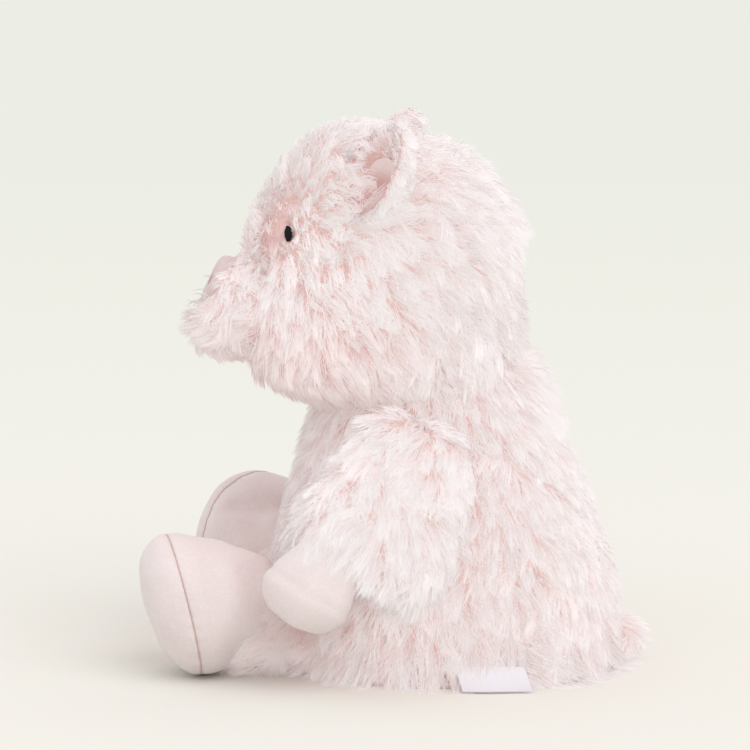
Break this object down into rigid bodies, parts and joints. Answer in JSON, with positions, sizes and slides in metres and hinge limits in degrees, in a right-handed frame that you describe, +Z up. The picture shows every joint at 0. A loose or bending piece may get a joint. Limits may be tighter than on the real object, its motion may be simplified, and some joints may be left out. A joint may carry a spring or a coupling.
{
  "type": "sitting plush pig",
  "caption": "Sitting plush pig with long pale pink fur, smooth padded hands, feet and snout, and a warmable grain pouch in its belly.",
  "frame": {"origin": "middle of the flat base that the pig sits on", "axes": "+Z up, the pig faces -Y, its left side is +X"},
  "size_m": [0.282, 0.2949, 0.3225],
  "materials": {
    "long_fur": "matte",
    "smooth_plush": "matte",
    "eye_thread": "satin",
    "nostril_thread": "matte",
    "fibre_filling": "matte",
    "cotton_cloth": "matte",
    "label_cloth": "satin"
  },
  "bodies": {
    "body": {"body_back_panel": "long_fur", "body_belly_panel": "long_fur", "base_panel": "long_fur", "body_stuffing": "fibre_filling", "grain_pouch": "cotton_cloth"},
    "head": {"head_back_panel": "long_fur", "head_face_panel": "long_fur", "head_stuffing": "fibre_filling", "left_eye": "eye_thread", "right_eye": "eye_thread", "muzzle": "long_fur", "left_nostril": "nostril_thread", "right_nostril": "nostril_thread", "snout_disc": "smooth_plush"},
    "left_ear": {"left_ear_back": "long_fur", "left_ear_lining": "smooth_plush"},
    "right_ear": {"right_ear_back": "long_fur", "right_ear_lining": "smooth_plush"},
    "left_arm": {"left_arm_sleeve": "long_fur", "left_hand": "smooth_plush"},
    "right_arm": {"right_arm_sleeve": "long_fur", "right_hand": "smooth_plush"},
    "left_leg": {"left_leg": "long_fur", "left_foot_upper": "smooth_plush", "left_foot_sole": "smooth_plush"},
    "right_leg": {"right_leg": "long_fur", "right_foot_upper": "smooth_plush", "right_foot_sole": "smooth_plush"},
    "tail": {"tail": "long_fur"},
    "label": {"label": "label_cloth"}
  },
  "joints": [
    {"name": "neck_nod", "type": "hinge", "parent": "body", "child": "head", "pos_m": [0, -0.009, 0.1552], "axis": [1, 0, 0], "range_deg": [-12, 12], "stiffness_Nm_per_rad": 4},
    {"name": "left_ear_fold", "type": "hinge", "parent": "head", "child": "left_ear", "pos_m": [0.06126, -0.0352, 0.28751], "axis": [0.7431, 0.6691, 0], "range_deg": [-15, 30], "stiffness_Nm_per_rad": 0.03},
    {"name": "right_ear_fold", "type": "hinge", "parent": "head", "child": "right_ear", "pos_m": [-0.06126, -0.0352, 0.28751], "axis": [0.7431, -0.6691, 0], "range_deg": [-15, 30], "stiffness_Nm_per_rad": 0.03},
    {"name": "left_arm_lift", "type": "hinge", "parent": "body", "child": "left_arm", "pos_m": [0.06968, -0.01352, 0.14356], "axis": [0, -1, 0], "range_deg": [0, 55], "stiffness_Nm_per_rad": 0.4},
    {"name": "right_arm_lift", "type": "hinge", "parent": "body", "child": "right_arm", "pos_m": [-0.06968, -0.01352, 0.14356], "axis": [0, 1, 0], "range_deg": [0, 55], "stiffness_Nm_per_rad": 0.4},
    {"name": "left_leg_lift", "type": "hinge", "parent": "body", "child": "left_leg", "pos_m": [0.04264, -0.0468, 0.0306], "axis": [-0.9877, -0.1564, 0], "range_deg": [-8, 25], "stiffness_Nm_per_rad": 0.8},
    {"name": "right_leg_lift", "type": "hinge", "parent": "body", "child": "right_leg", "pos_m": [-0.04264, -0.0468, 0.0306], "axis": [-0.6428, 0.766, 0], "range_deg": [-8, 25], "stiffness_Nm_per_rad": 0.8},
    {"name": "tail_wag", "type": "hinge", "parent": "body", "child": "tail", "pos_m": [0, 0.10334, 0.00865], "axis": [0, 0, 1], "range_deg": [-20, 20], "stiffness_Nm_per_rad": 0.03},
    {"name": "label_flap", "type": "hinge", "parent": "body", "child": "label", "pos_m": [0.09964, 0.03045, 0.0139], "axis": [0, -1, 0], "range_deg": [0, 45]}
  ]
}
